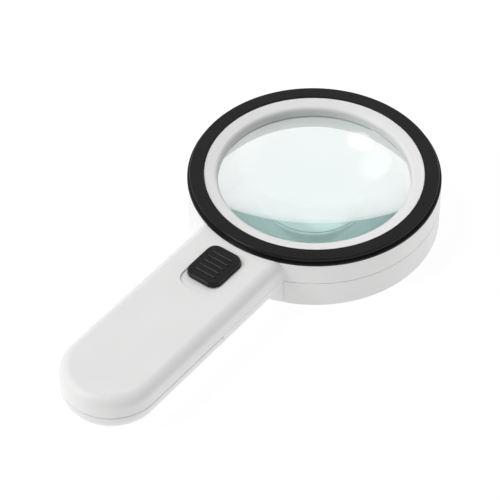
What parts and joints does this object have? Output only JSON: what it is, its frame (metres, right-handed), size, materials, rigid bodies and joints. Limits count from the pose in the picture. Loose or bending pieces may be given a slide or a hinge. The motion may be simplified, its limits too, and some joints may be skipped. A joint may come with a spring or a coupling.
{
  "type": "low vision magnifier",
  "caption": "Round illuminated hand magnifier with a convex glass lens, a flat battery handle, a thumb slide switch and a sliding battery door.",
  "frame": {"origin": "on the lens axis, in the flat base plane of the head, which is the mouth of the rear opening", "axes": "+Z along the lens axis towards the viewing side, -Y along the handle towards its end, +X to the right of the handle seen from above with the handle pointing towards the viewer"},
  "size_m": [0.1112, 0.2166, 0.027],
  "materials": {
    "white_shell": "satin moulded white plastic",
    "black_trim": "satin moulded black plastic",
    "black_knob": "satin black plastic with grip ribs",
    "lens_glass": "polished glass with a slight green tint",
    "circuit_board": "white solder mask on a laminate board",
    "switch_laminate": "brown phenolic laminate",
    "led_resin": "clear resin over a yellow phosphor",
    "resistor_body": "painted resistor body",
    "plated_steel": "zinc or nickel plated steel",
    "contact_brass": "tinned brass",
    "cell_jacket": "printed plastic jacket",
    "red_insulation": "red wire insulation",
    "black_insulation": "black wire insulation"
  },
  "bodies": {
    "body": {"front_housing": "white_shell", "rear_housing": "white_shell", "trim_ring": "black_trim", "lens": "lens_glass", "lens_retainer": "white_shell", "led_board": "circuit_board", "leds": "led_resin", "series_resistor": "resistor_body", "housing_screws": "plated_steel", "handle_screws": "plated_steel", "switch_can": "plated_steel", "switch_base": "switch_laminate", "switch_terminals": "contact_brass", "switch_screws": "plated_steel", "battery_tray": "white_shell", "tray_screws": "plated_steel", "cell_left": "cell_jacket", "cell_middle": "cell_jacket", "cell_right": "cell_jacket", "contact_springs": "plated_steel", "contact_plates": "plated_steel", "lead_battery": "red_insulation", "lead_switch": "red_insulation", "lead_return": "black_insulation"},
    "switch_slide": {"switch_knob": "black_knob", "switch_lever": "black_knob"},
    "door": {"battery_door": "white_shell"}
  },
  "joints": [
    {"name": "switch_slide_travel", "type": "slide", "parent": "body", "child": "switch_slide", "axis": [0, -1, 0], "range_m": [0, 0.0043]},
    {"name": "battery_door_slide", "type": "slide", "parent": "body", "child": "door", "axis": [0, -1, 0], "range_m": [0, 0.075]}
  ]
}
